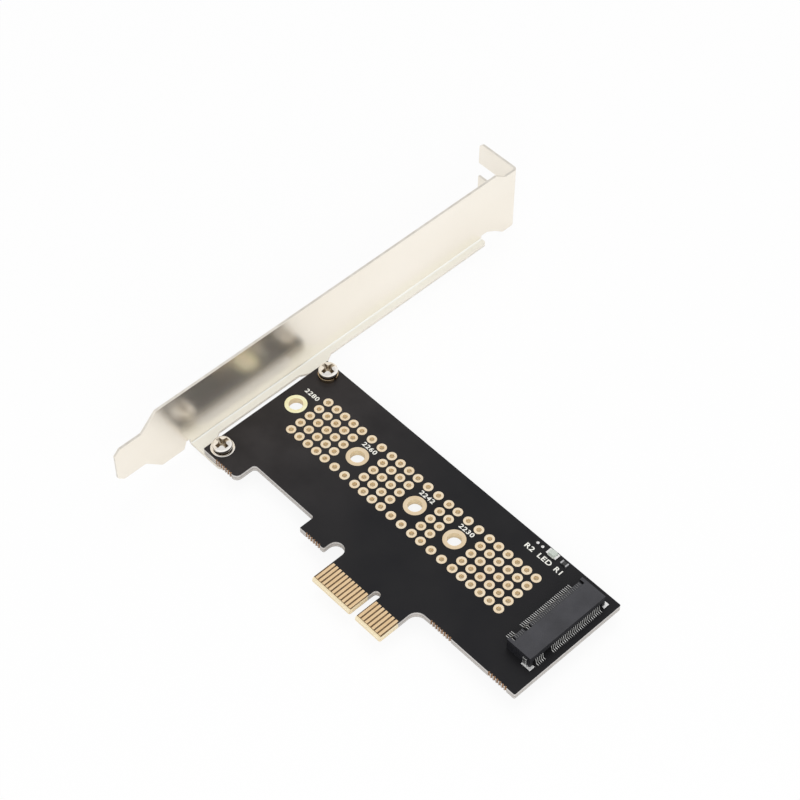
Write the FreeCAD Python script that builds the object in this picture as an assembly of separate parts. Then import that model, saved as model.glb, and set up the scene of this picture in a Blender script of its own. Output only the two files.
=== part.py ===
import FreeCAD, Part
import math
import os

from FreeCAD import Vector

# An adapter card that carries a long thin storage module in an expansion slot.
# Origin: centre of the key notch (X), tip of the plug tongue (Y), middle of the board's thickness (Z).
# +X runs along the card away from the mounting bracket, +Y away from the slot, +Z up from the component face.
# All sizes are in millimetres.

# Places along the card: the bracket stands a set distance from the key and the board starts a gap
# away from it; the first standoff hole keeps its distance from that edge, the socket a module's length
BRACKET_OFFSET = 57.45
BOARD_TO_BLADE = 4.05
STANDOFF_TO_EDGE = 4.46
MODULE_LENGTHS = (80.0, 60.0, 42.0, 30.0)
STOP_TO_EDGE = 5.19
SOCKET_TO_EDGE = 1.8

# Plug tongue with its contacts, placed from the key notch
FINGER_PITCH = 1.0
FINGER_WIDTH = 0.7
LEFT_FINGER_COUNT = 11
RIGHT_FINGER_COUNT = 7
KEY_TO_FINGER = 1.5
TONGUE_MARGIN = 0.65
KEY_WIDTH = 1.9
KEY_HEIGHT = 7.7
BEVEL_HEIGHT = 0.5
BEVEL_DEPTH = 0.35
FINGER_FOOT_GAP = 0.1
FINGER_LENGTH = 5.1
METAL_THICKNESS = 0.05

# Board outline, heights measured up from the tip of the tongue
BOARD_THICKNESS = 1.6
BOARD_HEIGHT = 41.6
SHOULDER_HEIGHT = 10.6
SHOULDER_RADIUS = 2.4
FOOT_HEIGHT = 5.35
FOOT_WIDTH = 10.9
FOOT_OUTER_RADIUS = 1.4
FOOT_INNER_RADIUS = 1.0
SPUR_HEIGHT = 6.65
SPUR_WIDTH = 7.35
SPUR_INNER_RADIUS = 0.6
SPUR_OUTER_RADIUS = 0.4
RELIEF_SLOT_WIDTH = 3.9
RELIEF_SLOT_HEIGHT = 10.25
BOARD_CORNER_RADIUS = 0.3

# Half-round nicks left along the lower edge where the board was broken out of its panel
NICK_RADIUS = 0.25
NICK_SIDE_COUNT = 8
NICK_PITCH = 0.78
FOOT_NICK_COUNT = 7
FOOT_NICKS_INSET = 4.4
SPUR_NICK_COUNT = 6
SPUR_NICKS_INSET = 2.1
NEAR_SHOULDER_NICK_COUNT = 8
NEAR_SHOULDER_NICKS_INSET = 4.25
FAR_SHOULDER_NICK_COUNT = 7
FAR_SHOULDER_NICKS_INSET = 7.2

# A slot's end is rounded by this share of its half width, so that a short flat is left at its middle
FULL_ROUND_RATIO = 0.999

# Plated standoff holes
STANDOFF_BORE_RADIUS = 1.6
STANDOFF_RING_RADIUS = 2.55

# Field of plated thermal holes
VIA_PITCH = 2.73
VIA_WIDE_PITCH = 3.17
VIA_ROW_PITCH = 2.74
VIA_FIRST_OFFSET = 4.6
VIA_RUN_COUNTS = (5, 4, 2, 6)
VIA_ROW_COUNT = 5
VIA_PAD_RADIUS = 1.175
VIA_BORE_RADIUS = 0.575
VIA_BORE_SIDE_COUNT = 8
VIA_KEEP_OUT = 0.3

# Mounting bracket, folded from one sheet
SHEET_THICKNESS = 0.65
BEND_RADIUS = 0.4
BRACKET_LENGTH = 120.02
BLADE_WIDTH = 18.42
TAIL_WIDTH = 10.19
TAIL_LENGTH = 7.4
TAIL_CORNER = 1.5
EAR_DEPTH = 11.43
EAR_DROP = 2.26
EAR_NECK = 3.0
EAR_STEP = 3.1
EAR_CORNER = 0.9
EAR_NOTCH_WIDTH = 4.42
EAR_NOTCH_DEPTH = 7.8
EAR_NOTCH_FROM_TOP = 8.6
TAIL_TO_FLANGE = 19.57
FLANGE_TO_TOP = 11.3
FLANGE_REACH = 1.88
FLANGE_END_CHAMFER = 0.7
START_RELIEF_WIDTH = 1.9
START_RELIEF_RAMP = 0.75
START_RELIEF_HEIGHT = 2.15
END_RELIEF_WIDTH = 1.8
END_RELIEF_HEIGHT = 1.6
END_RELIEF_RAMP = 2.7
TAB_REACH = 10.2
TAB_CORNER_RADIUS = 1.5
TAB_SLOPE = 2.2
TAB_SLOPE_RUN = 1.2
LOWER_TAB_WIDTH = 6.5
LOWER_TAB_BELOW_SCREW = 3.4
UPPER_TAB_WIDTH = 9.6
UPPER_TAB_BELOW_SCREW = 3.85

# Bracket screws and their washers
LOWER_SCREW_INSET = 2.75
UPPER_SCREW_INSET = 3.3
LOWER_SCREW_TO_EDGE = 3.15
UPPER_SCREW_TO_EDGE = 2.75
SCREW_RADIUS = 1.25
SCREW_BOARD_CLEARANCE = 0.2
SCREW_THREAD_CLEARANCE = 0.02
SCREW_TIP_CHAMFER = 0.3
SCREW_TIP_PROUD = 0.2
HEAD_RADIUS = 2.2
HEAD_SEAT_RADIUS = 1.8
HEAD_SEAT_RISE = 0.35
HEAD_HEIGHT = 1.65
HEAD_SHOULDER = 0.8
HEAD_CROWN_RADIUS = 1.6
RECESS_LENGTH = 1.55
RECESS_WIDTH = 0.42
RECESS_DEPTH = 1.0
RECESS_FOOT_LENGTH = 0.8
RECESS_FOOT_WIDTH = 0.2
FLAT_WASHER_RADIUS = 2.7
FLAT_WASHER_THICKNESS = 0.4
SPRING_WASHER_RADIUS = 2.3
SPRING_WASHER_THICKNESS = 1.0
SPRING_WASHER_GAP = 0.45
WASHER_CLEARANCE = 0.15

# Module socket: X values are from the module's stop plane, heights from the board's component face
SOCKET_HEIGHT = 3.2
SOCKET_REAR = 2.85
SOCKET_JAW_FRONT = 2.4
SOCKET_COMB_FRONT = 3.4
SOCKET_POST_FRONT = 3.7
SOCKET_POST_WIDTH = 0.75
SOCKET_SILL_FRONT = 3.0
SOCKET_MOUTH_WALL = 0.875
SOCKET_MOUTH_BOTTOM = 1.2
SOCKET_MOUTH_TOP = 2.2
SOCKET_MOUTH_RELIEF = 0.2
SOCKET_REAR_STEP = 0.6
SOCKET_REAR_STEP_HEIGHT = 1.6
PIN_PITCH = 0.5
PIN_WIDTH = 0.2
PIN_THICKNESS = 0.15
PIN_CHANNEL_CLEARANCE = 0.04
PIN_MARGIN = 0.35
PIN_TO_SOCKET_END = 1.7
WIDE_GROUP_COUNT = 29
KEYED_COUNT = 4
UPPER_NARROW_COUNT = 5
LOWER_NARROW_COUNT = 4
UPPER_TOE_REACH = 3.6
UPPER_TOE_LENGTH = 0.5
UPPER_LEG_RUN = 0.7
UPPER_BEAM_HEIGHT = 2.55
UPPER_TIP_REACH = 3.0
LOWER_TOE_REACH = 5.55
LOWER_TOE_LENGTH = 0.75
LOWER_LEG_RUN = 0.9
LOWER_BEAM_HEIGHT = 0.8
LOWER_TIP_REACH = 1.2
COMB_SLOT_DEPTH = 1.0

# Solder clips that hold the socket's two rear corners
CLIP_THICKNESS = 0.3
CLIP_FRONT = 1.0
CLIP_REAR = 3.5
CLIP_SIDE_REACH = 0.65
CLIP_INNER_REACH = 0.8
CLIP_TAB_HEIGHT = 2.3
CLIP_TAB_LENGTH = 1.0
CLIP_CLEARANCE = 0.03

# Indicator lamp, resistor and spare pads in a row along the board's far edge, placed from the module's stop
CHIP_ROW_INSET = 1.2
LAMP_TO_STOP = 13.06
LAMP_LENGTH = 2.8
LAMP_WIDTH = 1.5
LAMP_BASE_HEIGHT = 0.4
LAMP_LENS_HEIGHT = 0.55
LAMP_LENS_LENGTH = 1.8
LAMP_LENS_DRAFT = 0.12
LAMP_TERMINAL_LENGTH = 0.5
RESISTOR_TO_STOP = 9.71
RESISTOR_LENGTH = 1.7
RESISTOR_WIDTH = 0.9
RESISTOR_HEIGHT = 0.45
RESISTOR_TERMINAL_LENGTH = 0.35
TERMINAL_WRAP = 0.04
SPARE_PAD_TO_STOP = 16.71
SPARE_PAD_SPACING = 1.4
SPARE_PAD_RADIUS = 0.36
SPARE_PAD_HEIGHT = 0.12

# Planes and lines that several pieces share
FACE = BOARD_THICKNESS / 2
BACK = -FACE
TONGUE_LEFT = -(KEY_TO_FINGER + (LEFT_FINGER_COUNT - 1) * FINGER_PITCH + TONGUE_MARGIN)
TONGUE_RIGHT = KEY_TO_FINGER + (RIGHT_FINGER_COUNT - 1) * FINGER_PITCH + TONGUE_MARGIN
SPUR_RIGHT = TONGUE_LEFT - RELIEF_SLOT_WIDTH
BOARD_LEFT = BOARD_TO_BLADE - BRACKET_OFFSET
FIRST_STANDOFF = BOARD_LEFT + STANDOFF_TO_EDGE
MODULE_STOP = FIRST_STANDOFF + MODULE_LENGTHS[0]
BOARD_RIGHT = MODULE_STOP + STOP_TO_EDGE
UPPER_ROW_START = (WIDE_GROUP_COUNT + KEYED_COUNT + UPPER_NARROW_COUNT - 1) * PIN_PITCH / 2
LOWER_ROW_START = UPPER_ROW_START - PIN_PITCH / 2
SOCKET_HALF = UPPER_ROW_START + PIN_TO_SOCKET_END
CENTRELINE = BOARD_HEIGHT - SOCKET_TO_EDGE - CLIP_SIDE_REACH - SOCKET_HALF
BLADE_INNER = -BRACKET_OFFSET
BLADE_OUTER = BLADE_INNER - SHEET_THICKNESS
BEND_OUTER = BEND_RADIUS + SHEET_THICKNESS
BLADE_BOTTOM = BACK - SHEET_THICKNESS
BLADE_TOP = BLADE_BOTTOM + BLADE_WIDTH
LOWER_SCREW_X = BOARD_LEFT + LOWER_SCREW_INSET
UPPER_SCREW_X = BOARD_LEFT + UPPER_SCREW_INSET
LOWER_SCREW_Y = FOOT_HEIGHT + LOWER_SCREW_TO_EDGE
UPPER_SCREW_Y = BOARD_HEIGHT - UPPER_SCREW_TO_EDGE
SCREW_PLACES = ((LOWER_SCREW_X, LOWER_SCREW_Y), (UPPER_SCREW_X, UPPER_SCREW_Y))
UPPER_TAB_START = UPPER_SCREW_Y - UPPER_TAB_BELOW_SCREW
FLANGE_START = LOWER_SCREW_Y - LOWER_TAB_BELOW_SCREW
TAIL_END = FLANGE_START - TAIL_TO_FLANGE
BRACKET_TOP = TAIL_END + BRACKET_LENGTH
FLANGE_END = BRACKET_TOP - FLANGE_TO_TOP
CHIP_ROW = BOARD_HEIGHT - CHIP_ROW_INSET
LAMP_PLACE = MODULE_STOP - LAMP_TO_STOP
RESISTOR_PLACE = MODULE_STOP - RESISTOR_TO_STOP
SPARE_PAD_PLACE = MODULE_STOP - SPARE_PAD_TO_STOP

PLANES = {
    "xy": (Vector(1, 0, 0), Vector(0, 1, 0), Vector(0, 0, 1)),
    "yz": (Vector(0, 1, 0), Vector(0, 0, 1), Vector(1, 0, 0)),
    "xz": (Vector(1, 0, 0), Vector(0, 0, 1), Vector(0, 1, 0)),
}


def corner_arc(before, corner, after, radius):
    """Start, middle and end of the arc that rounds one corner of a flat outline."""
    to_before = (before - corner).normalize()
    to_after = (after - corner).normalize()
    half_angle = to_before.getAngle(to_after) / 2
    setback = radius / math.tan(half_angle)
    bisector = (to_before + to_after).normalize()
    centre = corner + bisector * (radius / math.sin(half_angle))
    middle = centre - bisector * radius
    return corner + to_before * setback, middle, corner + to_after * setback


def prism(corners, plane, low, high):
    """Extrude a closed outline; a corner with a third value is rounded by that radius."""
    across, up, along = PLANES[plane]
    points = [across * corner[0] + up * corner[1] + along * low for corner in corners]
    radii = [corner[2] if len(corner) > 2 else 0 for corner in corners]
    count = len(points)
    edges = []
    joints = []
    for index in range(count):
        if radii[index]:
            after = points[(index + 1) % count]
            start, middle, end = corner_arc(points[index - 1], points[index], after, radii[index])
            edges.append(Part.Arc(start, middle, end).toShape())
            joints.append((start, end))
        else:
            joints.append((points[index], points[index]))
    for index in range(count):
        start = joints[index][1]
        end = joints[(index + 1) % count][0]
        if start.distanceToPoint(end) > 1e-6:
            edges.append(Part.makeLine(start, end))
    wire = Part.Wire(Part.__sortEdges__(edges))
    return Part.Face(wire).extrude(along * (high - low))


def block(x_low, x_high, y_low, y_high, z_low, z_high):
    """Rectangular box between two corners."""
    return Part.makeBox(x_high - x_low, y_high - y_low, z_high - z_low, Vector(x_low, y_low, z_low))


def drum(radius, x, y, z_low, z_high):
    """Upright cylinder."""
    return Part.makeCylinder(radius, z_high - z_low, Vector(x, y, z_low))


def many_sided(radius, sides, x, y, z_low, z_high):
    """Upright prism with a regular outline whose corners lie on the given radius."""
    corners = []
    for index in range(sides):
        angle = 2 * math.pi * (index + 0.5) / sides
        corners.append((x + radius * math.cos(angle), y + radius * math.sin(angle)))
    return prism(corners, "xy", z_low, z_high)


def standoff_places():
    """X of each standoff hole, longest module first."""
    return [MODULE_STOP - length for length in MODULE_LENGTHS]


def via_columns():
    """X of each column of thermal holes: runs of evenly spaced columns with two sparse ones between runs."""
    x = FIRST_STANDOFF + VIA_FIRST_OFFSET
    columns = []
    for run in VIA_RUN_COUNTS:
        columns += [x + step * VIA_PITCH for step in range(run)]
        x = columns[-1]
        columns += [x + VIA_WIDE_PITCH, x + 2 * VIA_WIDE_PITCH]
        x += 3 * VIA_WIDE_PITCH
    return columns[:-2]


def via_centres():
    """Centres of the thermal holes, leaving out those whose pads would touch a standoff ring."""
    clear = STANDOFF_RING_RADIUS + VIA_PAD_RADIUS + VIA_KEEP_OUT
    centres = []
    for x in via_columns():
        for row in range(VIA_ROW_COUNT):
            y = (row - (VIA_ROW_COUNT - 1) / 2) * VIA_ROW_PITCH
            if all(math.hypot(x - hole, y) > clear for hole in standoff_places()):
                centres.append((x, CENTRELINE + y))
    return centres


def nick_places():
    """X of the first nick, number of nicks and height of the edge, for each broken-out bridge."""
    spur_left = SPUR_RIGHT - SPUR_WIDTH
    return [
        (BOARD_LEFT + FOOT_NICKS_INSET, FOOT_NICK_COUNT, FOOT_HEIGHT),
        (spur_left + SPUR_NICKS_INSET, SPUR_NICK_COUNT, SPUR_HEIGHT),
        (TONGUE_RIGHT + NEAR_SHOULDER_NICKS_INSET, NEAR_SHOULDER_NICK_COUNT, SHOULDER_HEIGHT),
        (BOARD_RIGHT - FAR_SHOULDER_NICKS_INSET, FAR_SHOULDER_NICK_COUNT, SHOULDER_HEIGHT),
    ]


def board_outline():
    """Corners of the board, clockwise from the bracket side's foot."""
    left = BOARD_LEFT
    spur_left = SPUR_RIGHT - SPUR_WIDTH
    half_key = KEY_WIDTH / 2
    half_relief = RELIEF_SLOT_WIDTH / 2
    return [
        (left, FOOT_HEIGHT, BOARD_CORNER_RADIUS),
        (left, BOARD_HEIGHT, BOARD_CORNER_RADIUS),
        (BOARD_RIGHT, BOARD_HEIGHT, BOARD_CORNER_RADIUS),
        (BOARD_RIGHT, SHOULDER_HEIGHT, BOARD_CORNER_RADIUS),
        (TONGUE_RIGHT, SHOULDER_HEIGHT, SHOULDER_RADIUS),
        (TONGUE_RIGHT, 0),
        (half_key, 0),
        (half_key, KEY_HEIGHT, half_key * FULL_ROUND_RATIO),
        (-half_key, KEY_HEIGHT, half_key * FULL_ROUND_RATIO),
        (-half_key, 0),
        (TONGUE_LEFT, 0),
        (TONGUE_LEFT, RELIEF_SLOT_HEIGHT, half_relief * FULL_ROUND_RATIO),
        (SPUR_RIGHT, RELIEF_SLOT_HEIGHT, half_relief * FULL_ROUND_RATIO),
        (SPUR_RIGHT, SPUR_HEIGHT, SPUR_OUTER_RADIUS),
        (spur_left, SPUR_HEIGHT),
        (spur_left, SHOULDER_HEIGHT, SPUR_INNER_RADIUS),
        (left + FOOT_WIDTH, SHOULDER_HEIGHT, FOOT_INNER_RADIUS),
        (left + FOOT_WIDTH, FOOT_HEIGHT, FOOT_OUTER_RADIUS),
    ]


def circuit_board():
    """Laminate with its tongue, key, holes and edge nicks."""
    board = prism(board_outline(), "xy", BACK, FACE)
    cuts = []
    for first, count, height in nick_places():
        for step in range(count):
            x = first + step * NICK_PITCH
            cuts.append(many_sided(NICK_RADIUS, NICK_SIDE_COUNT, x, height, BACK, FACE))
    for x in standoff_places():
        cuts.append(drum(STANDOFF_RING_RADIUS, x, CENTRELINE, BACK, FACE))
    for x, y in SCREW_PLACES:
        cuts.append(drum(SCREW_RADIUS + SCREW_BOARD_CLEARANCE, x, y, BACK, FACE))
    for x, y in via_centres():
        cuts.append(many_sided(VIA_BORE_RADIUS, VIA_BORE_SIDE_COUNT, x, y, BACK, FACE))
    for side in (1, -1):
        slope = [(0, side * (FACE - BEVEL_DEPTH)), (BEVEL_HEIGHT, side * FACE), (0, side * FACE)]
        cuts.append(prism(slope, "yz", TONGUE_LEFT, TONGUE_RIGHT))
    return board.cut(cuts)


def edge_contacts(first_x, count, back):
    """One group of contact pads on one face of the tongue."""
    low = BACK - METAL_THICKNESS if back else FACE
    foot = BEVEL_HEIGHT + FINGER_FOOT_GAP
    pads = []
    for step in range(count):
        x = first_x + step * FINGER_PITCH
        half = FINGER_WIDTH / 2
        pads.append(block(x - half, x + half, foot, foot + FINGER_LENGTH, low, low + METAL_THICKNESS))
    return Part.makeCompound(pads)


def standoff_plating(x):
    """Plated ring and bore of one standoff hole."""
    low = BACK - METAL_THICKNESS
    high = FACE + METAL_THICKNESS
    ring = drum(STANDOFF_RING_RADIUS, x, CENTRELINE, low, high)
    return ring.cut(drum(STANDOFF_BORE_RADIUS, x, CENTRELINE, low, high))


def blade_outline():
    """Side view of the bracket's flat blade, from the tail round to the ear."""
    shoulder = (BLADE_WIDTH - TAIL_WIDTH) / 2
    tail_low = BLADE_BOTTOM + shoulder
    tail_high = BLADE_TOP - shoulder
    taper_start = TAIL_END + TAIL_LENGTH
    full_width = taper_start + shoulder
    bend_line = BLADE_BOTTOM + BEND_OUTER
    ear_line = BRACKET_TOP - BEND_OUTER
    ear_start = ear_line - EAR_NECK
    relief_start = FLANGE_START - START_RELIEF_WIDTH
    relief_end = FLANGE_END + END_RELIEF_WIDTH
    relief_foot = relief_end + END_RELIEF_RAMP
    relief_top = BLADE_BOTTOM + END_RELIEF_HEIGHT
    ear_low = BLADE_BOTTOM - EAR_DROP
    ear_high = BLADE_TOP - EAR_DROP
    return [
        (TAIL_END, tail_low + TAIL_CORNER),
        (TAIL_END + TAIL_CORNER, tail_low),
        (taper_start, tail_low),
        (full_width, BLADE_BOTTOM),
        (relief_start, BLADE_BOTTOM),
        (relief_start + START_RELIEF_RAMP, BLADE_BOTTOM + START_RELIEF_HEIGHT),
        (FLANGE_START, BLADE_BOTTOM + START_RELIEF_HEIGHT),
        (FLANGE_START, bend_line),
        (FLANGE_END, bend_line),
        (FLANGE_END, relief_top),
        (relief_end, relief_top),
        (relief_foot, BLADE_BOTTOM),
        (ear_start, ear_low),
        (ear_line, ear_low),
        (ear_line, ear_high),
        (ear_start, ear_high),
        (ear_start - EAR_STEP, BLADE_TOP),
        (full_width, BLADE_TOP),
        (taper_start, tail_high),
        (TAIL_END + TAIL_CORNER, tail_high),
        (TAIL_END, tail_high - TAIL_CORNER),
    ]


def bend_section(toe):
    """Section of the fold between blade and flange, with the flange as far as the toe."""
    low = BLADE_BOTTOM
    start = BLADE_OUTER + BEND_OUTER
    return [
        (BLADE_OUTER, low + BEND_OUTER),
        (BLADE_OUTER, low, BEND_OUTER),
        (toe, low),
        (toe, low + SHEET_THICKNESS),
        (start - BEND_RADIUS, low + SHEET_THICKNESS, BEND_RADIUS),
        (BLADE_INNER, low + BEND_OUTER),
    ]


def bracket_tab(start, width, straight_start):
    """Plan of one screw tab: it leaves the flange with sloped sides and has a rounded end."""
    root = BLADE_OUTER + BEND_OUTER
    strip = BLADE_INNER + FLANGE_REACH
    neck = strip + TAB_SLOPE_RUN
    toe = BLADE_INNER + TAB_REACH
    near_slope = 0 if straight_start else TAB_SLOPE
    return [
        (root, start),
        (strip, start),
        (neck, start + near_slope),
        (toe, start + near_slope, TAB_CORNER_RADIUS),
        (toe, start + width - TAB_SLOPE, TAB_CORNER_RADIUS),
        (neck, start + width - TAB_SLOPE),
        (strip, start + width),
        (root, start + width),
    ]


def bracket_ear():
    """Folded ear with its open screw notch."""
    top = BRACKET_TOP
    low = BLADE_BOTTOM - EAR_DROP
    high = BLADE_TOP - EAR_DROP
    free = BLADE_OUTER - EAR_DEPTH
    section = [
        (BLADE_INNER, top - BEND_OUTER),
        (BLADE_INNER, top, BEND_OUTER),
        (free, top),
        (free, top - SHEET_THICKNESS),
        (BLADE_OUTER, top - SHEET_THICKNESS, BEND_RADIUS),
        (BLADE_OUTER, top - BEND_OUTER),
    ]
    ear = prism(section, "xy", low, high)
    inner = top - SHEET_THICKNESS
    notch_middle = high - EAR_NOTCH_FROM_TOP
    half = EAR_NOTCH_WIDTH / 2
    notch = [
        (free - half, notch_middle - half),
        (free + EAR_NOTCH_DEPTH, notch_middle - half, half * FULL_ROUND_RATIO),
        (free + EAR_NOTCH_DEPTH, notch_middle + half, half * FULL_ROUND_RATIO),
        (free - half, notch_middle + half),
    ]
    upper = [(free, high - EAR_CORNER), (free, high), (free + EAR_CORNER, high)]
    lower = [(free, low + EAR_CORNER), (free + EAR_CORNER, low), (free, low)]
    return ear.cut([prism(shape, "xz", inner, top) for shape in (notch, upper, lower)])


def bracket():
    """Full-height bracket: tapered tail, blade, flange with two screw tabs, and ear."""
    blade = prism(blade_outline(), "yz", BLADE_OUTER, BLADE_INNER)
    strip = BLADE_INNER + FLANGE_REACH
    flange = prism(bend_section(strip), "xz", FLANGE_START, FLANGE_END)
    bottom = BLADE_BOTTOM
    lower_tab = prism(bracket_tab(FLANGE_START, LOWER_TAB_WIDTH, True), "xy", bottom, BACK)
    upper_tab = prism(bracket_tab(UPPER_TAB_START, UPPER_TAB_WIDTH, False), "xy", bottom, BACK)
    chamfer = FLANGE_END_CHAMFER
    corner = [(strip - chamfer, FLANGE_END), (strip, FLANGE_END - chamfer), (strip, FLANGE_END)]
    cuts = [prism(corner, "xy", bottom, BACK)]
    for x, y in SCREW_PLACES:
        cuts.append(drum(SCREW_RADIUS + SCREW_THREAD_CLEARANCE, x, y, bottom, BACK))
    sheet = blade.fuse([flange, lower_tab, upper_tab, bracket_ear()]).cut(cuts)
    return sheet.removeSplitter()


def cross_outline(reach, half_width, z):
    """Plus-shaped wire for a driver recess."""
    a = half_width
    b = reach
    quarter = [(b, -a), (b, a), (a, a)]
    points = []
    for turn in range(4):
        points += [Vector(x, y, z) for x, y in quarter]
        quarter = [(-y, x) for x, y in quarter]
    return Part.makePolygon(points + points[:1])


def bracket_screw(x, y, seat):
    """Pan-head screw whose head rests at the given height and whose shank ends just under the tab."""
    tip = BLADE_BOTTOM - SCREW_TIP_PROUD
    top = seat + HEAD_HEIGHT
    profile = [
        (0, tip),
        (SCREW_RADIUS - SCREW_TIP_CHAMFER, tip),
        (SCREW_RADIUS, tip + SCREW_TIP_CHAMFER),
        (SCREW_RADIUS, seat),
        (HEAD_SEAT_RADIUS, seat),
        (HEAD_RADIUS, seat + HEAD_SEAT_RISE),
        (HEAD_RADIUS, seat + HEAD_SHOULDER),
        (HEAD_CROWN_RADIUS, top),
        (0, top),
    ]
    points = [Vector(r, 0, z) for r, z in profile]
    half = Part.Face(Part.makePolygon(points + points[:1]))
    body = half.revolve(Vector(0, 0, 0), Vector(0, 0, 1), 360)
    mouth = cross_outline(RECESS_LENGTH, RECESS_WIDTH, top)
    foot = cross_outline(RECESS_FOOT_LENGTH, RECESS_FOOT_WIDTH, top - RECESS_DEPTH)
    recess = Part.makeLoft([mouth, foot], True, True)
    screw = body.cut(recess)
    screw.translate(Vector(x, y, 0))
    return screw


def flat_washer(x, y):
    """Plain washer under one screw head."""
    top = FACE + FLAT_WASHER_THICKNESS
    ring = drum(FLAT_WASHER_RADIUS, x, y, FACE, top)
    return ring.cut(drum(SCREW_RADIUS + WASHER_CLEARANCE, x, y, FACE, top))


def spring_washer(x, y):
    """Split washer under the other screw head."""
    top = FACE + SPRING_WASHER_THICKNESS
    ring = drum(SPRING_WASHER_RADIUS, x, y, FACE, top)
    ring = ring.cut(drum(SCREW_RADIUS + WASHER_CLEARANCE, x, y, FACE, top))
    half = SPRING_WASHER_GAP / 2
    gap = block(x, x + 2 * SPRING_WASHER_RADIUS, y - half, y + half, FACE, top)
    return ring.cut(gap)


def pin_offsets(row_start, narrow_pins):
    """Offsets of the pins of one row from the socket's middle, wide group first."""
    wide = [row_start - step * PIN_PITCH for step in range(WIDE_GROUP_COUNT)]
    narrow_start = row_start - (WIDE_GROUP_COUNT + KEYED_COUNT) * PIN_PITCH
    narrow = [narrow_start - step * PIN_PITCH for step in range(narrow_pins)]
    return wide, narrow


def row_sides(offsets, margin):
    """Y of the near and the far side of a group of contacts, with a margin beyond its end pins."""
    return CENTRELINE + offsets[-1] - margin, CENTRELINE + offsets[0] + margin


def upper_pin_path(tip, swell):
    """Side view of a contact of the row that leaves at the back, grown by a swell for its channel."""
    toe = MODULE_STOP + UPPER_TOE_REACH
    heel = toe - UPPER_TOE_LENGTH
    knee = heel - UPPER_LEG_RUN
    low = FACE
    beam = FACE + UPPER_BEAM_HEIGHT
    thick = PIN_THICKNESS
    back = knee - thick
    return [
        (toe + swell, low),
        (toe + swell, low + thick + swell),
        (heel + swell, low + thick + swell),
        (knee + thick + swell, beam + thick + swell),
        (tip - swell, beam + thick + swell),
        (tip - swell, beam - swell),
        (back + thick - swell, beam - swell),
        (heel - thick - swell, low),
    ]


def lower_pin_path(swell):
    """Side view of a contact of the row that leaves at the front, grown by a swell for its channel."""
    toe = MODULE_STOP - LOWER_TOE_REACH
    heel = toe + LOWER_TOE_LENGTH
    knee = heel + LOWER_LEG_RUN
    tip = MODULE_STOP - LOWER_TIP_REACH
    low = FACE
    beam = FACE + LOWER_BEAM_HEIGHT
    thick = PIN_THICKNESS
    return [
        (toe - swell, low),
        (heel + thick + swell, low),
        (knee + swell, beam - swell),
        (tip + swell, beam - swell),
        (tip + swell, beam + thick + swell),
        (knee - thick - swell, beam + thick + swell),
        (heel - swell, low + thick + swell),
        (toe - swell, low + thick + swell),
    ]


def socket_pins(path, offsets):
    """A group of contacts side by side."""
    half = PIN_WIDTH / 2
    middle = CENTRELINE
    return Part.makeCompound([prism(path, "xz", middle + y - half, middle + y + half) for y in offsets])


def socket_housing():
    """Moulded socket: two jaws, end posts, a comb of contact slots and a channel for each pin group."""
    stop = MODULE_STOP
    middle = CENTRELINE
    half = SOCKET_HALF
    top = FACE + SOCKET_HEIGHT
    sill = FACE + SOCKET_MOUTH_BOTTOM
    roof = FACE + SOCKET_MOUTH_TOP
    rear = stop + SOCKET_REAR
    jaw = stop - SOCKET_JAW_FRONT
    body = block(jaw, rear, middle - half, middle + half, FACE, top)
    parts = [block(stop - SOCKET_SILL_FRONT, jaw, middle - half, middle + half, FACE, sill)]
    for side in (1, -1):
        outer = middle + side * half
        inner = outer - side * SOCKET_POST_WIDTH
        parts.append(block(stop - SOCKET_POST_FRONT, jaw, min(outer, inner), max(outer, inner), FACE, top))
    upper_groups = pin_offsets(UPPER_ROW_START, UPPER_NARROW_COUNT)
    lower_groups = pin_offsets(LOWER_ROW_START, LOWER_NARROW_COUNT)
    comb = stop - SOCKET_COMB_FRONT
    for group in upper_groups:
        near, far = row_sides(group, PIN_MARGIN)
        parts.append(block(comb, jaw, near, far, roof, top))
    body = body.fuse(parts).removeSplitter()
    mouth_half = half - SOCKET_MOUTH_WALL
    front = stop - SOCKET_POST_FRONT
    cuts = [block(front, stop + SOCKET_MOUTH_RELIEF, middle - mouth_half, middle + mouth_half, sill, roof)]
    step = rear - SOCKET_REAR_STEP
    step_half = half - SOCKET_POST_WIDTH
    step_top = FACE + SOCKET_REAR_STEP_HEIGHT
    cuts.append(block(step, rear, middle - step_half, middle + step_half, FACE, step_top))
    swell = PIN_CHANNEL_CLEARANCE
    slot_half = PIN_WIDTH / 2 + swell
    slot_end = comb + COMB_SLOT_DEPTH
    for group in upper_groups:
        near, far = row_sides(group, slot_half)
        cuts.append(prism(upper_pin_path(slot_end + swell, swell), "xz", near, far))
        for y in group:
            cuts.append(block(comb, slot_end, middle + y - slot_half, middle + y + slot_half, roof, top))
    for group in lower_groups:
        near, far = row_sides(group, slot_half)
        cuts.append(prism(lower_pin_path(swell), "xz", near, far))
    return body.cut(cuts)


def socket_clip(side):
    """Solder clip round one rear corner of the socket."""
    middle = CENTRELINE
    wall = SOCKET_HALF + CLIP_CLEARANCE
    rear = MODULE_STOP + SOCKET_REAR + CLIP_CLEARANCE
    front = MODULE_STOP + CLIP_FRONT
    end = MODULE_STOP + CLIP_REAR
    outer = SOCKET_HALF + CLIP_SIDE_REACH
    inner = SOCKET_HALF - CLIP_INNER_REACH
    plan = [(front, wall), (rear, wall), (rear, inner), (end, inner), (end, outer), (front, outer)]
    corners = [(x, middle + side * y) for x, y in plan]
    foot = prism(corners, "xy", FACE, FACE + CLIP_THICKNESS)
    near = middle + side * wall
    far = middle + side * (wall + CLIP_THICKNESS)
    tab = block(front, front + CLIP_TAB_LENGTH, min(near, far), max(near, far), FACE, FACE + CLIP_TAB_HEIGHT)
    return foot.fuse(tab).removeSplitter()


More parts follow.
